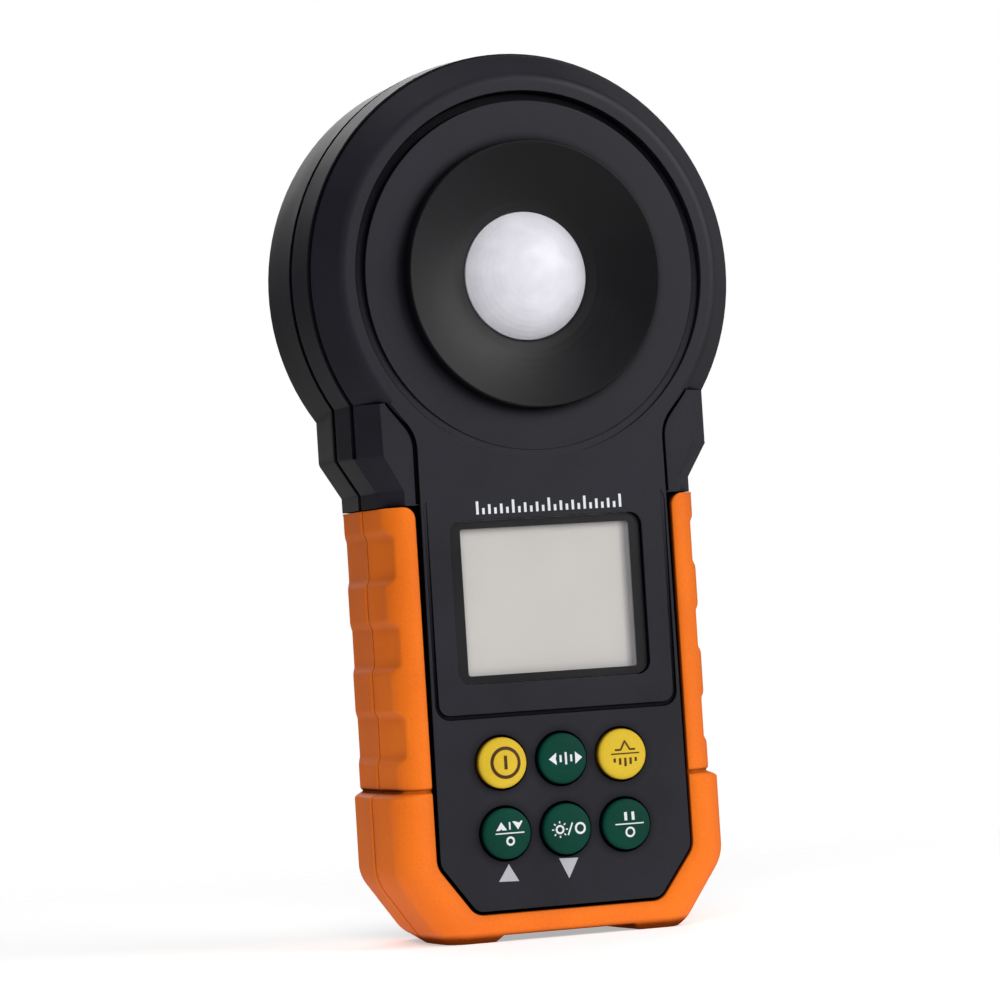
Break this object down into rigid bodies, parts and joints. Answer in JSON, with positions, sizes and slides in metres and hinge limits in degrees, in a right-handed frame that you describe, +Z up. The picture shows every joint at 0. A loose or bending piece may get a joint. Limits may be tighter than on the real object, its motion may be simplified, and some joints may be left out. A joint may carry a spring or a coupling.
{
  "type": "handheld light meter",
  "caption": "Handheld light meter with a round head, opal dome in a dished bezel, plain display, round keys and a soft orange grip overmould.",
  "frame": {"origin": "middle of the footprint, on the plane of the two feet; the shells' parting plane is y = 0", "axes": "+Z up along the meter's length, display and sensor face -Y, +X to the right of someone facing the display"},
  "size_m": [0.104, 0.044, 0.2032],
  "materials": {
    "shell": "fine moulded texture",
    "shell_back": "fine moulded texture",
    "overmould": "soft matte",
    "bezel": "fine moulded texture",
    "dome": "opal satin",
    "gasket": "matte",
    "inner_plastic": "moulded",
    "screw_steel": "zinc plated",
    "filter": "polished",
    "holder": "matte",
    "photodiode": "gold plated",
    "board": "solder mask",
    "ribbon": "satin",
    "socket": "moulded",
    "window": "polished",
    "border": "printed",
    "lcd": "satin",
    "backlight": "polished",
    "lcd_frame": "moulded",
    "zebra": "satin",
    "chip": "moulded",
    "crystal": "satin",
    "board_parts": "satin",
    "mat": "matte",
    "key_yellow": "soft grainy",
    "key_green": "soft grainy",
    "carbon": "matte",
    "cover": "fine moulded texture",
    "foam": "cellular",
    "brass": "turned",
    "battery": "satin",
    "snap": "matte",
    "lead_red": "satin",
    "lead_black": "satin"
  },
  "bodies": {
    "case": {"front_shell": "shell", "rear_shell": "shell_back", "front_overmould": "overmould", "rear_overmould": "overmould", "sensor_bezel": "bezel", "diffuser_dome": "dome", "dome_gasket": "gasket", "sensor_clamp_plate": "inner_plastic", "clamp_screws": "screw_steel", "correction_filter": "filter", "filter_holder": "holder", "photodiode": "photodiode", "sensor_board": "board", "sensor_board_screws": "screw_steel", "sensor_lead": "ribbon", "sensor_socket": "socket", "lcd_window": "window", "window_border": "border", "lcd_glass": "lcd", "lcd_backlight": "backlight", "lcd_frame": "lcd_frame", "zebra_strips": "zebra", "main_board": "board", "main_board_screws": "screw_steel", "processor": "chip", "crystal": "crystal", "board_parts": "board_parts", "keypad_mat": "mat", "cover_insert": "brass", "battery_9v": "battery", "battery_snap": "snap", "battery_lead_red": "lead_red", "battery_lead_black": "lead_black", "case_screws": "screw_steel", "tripod_insert": "brass"},
    "key_power": {"key_power": "key_yellow", "pill_power": "carbon"},
    "key_range": {"key_range": "key_green", "pill_range": "carbon"},
    "key_peak": {"key_peak": "key_yellow", "pill_peak": "carbon"},
    "key_max_min": {"key_max_min": "key_green", "pill_max_min": "carbon"},
    "key_unit": {"key_unit": "key_green", "pill_unit": "carbon"},
    "key_hold": {"key_hold": "key_green", "pill_hold": "carbon"},
    "cover": {"battery_cover": "cover", "battery_cover_screw": "screw_steel", "battery_pad": "foam"}
  },
  "joints": [
    {"name": "press_power", "type": "slide", "parent": "case", "child": "key_power", "axis": [0, 1, 0], "range_m": [0, 0.0011], "stiffness_N_per_m": 600},
    {"name": "press_range", "type": "slide", "parent": "case", "child": "key_range", "axis": [0, 1, 0], "range_m": [0, 0.0011], "stiffness_N_per_m": 600},
    {"name": "press_peak", "type": "slide", "parent": "case", "child": "key_peak", "axis": [0, 1, 0], "range_m": [0, 0.0011], "stiffness_N_per_m": 600},
    {"name": "press_max_min", "type": "slide", "parent": "case", "child": "key_max_min", "axis": [0, 1, 0], "range_m": [0, 0.0011], "stiffness_N_per_m": 600},
    {"name": "press_unit", "type": "slide", "parent": "case", "child": "key_unit", "axis": [0, 1, 0], "range_m": [0, 0.0011], "stiffness_N_per_m": 600},
    {"name": "press_hold", "type": "slide", "parent": "case", "child": "key_hold", "axis": [0, 1, 0], "range_m": [0, 0.0011], "stiffness_N_per_m": 600},
    {"name": "cover_off", "type": "slide", "parent": "case", "child": "cover", "axis": [0, 1, 0], "range_m": [0, 0.03]}
  ]
}
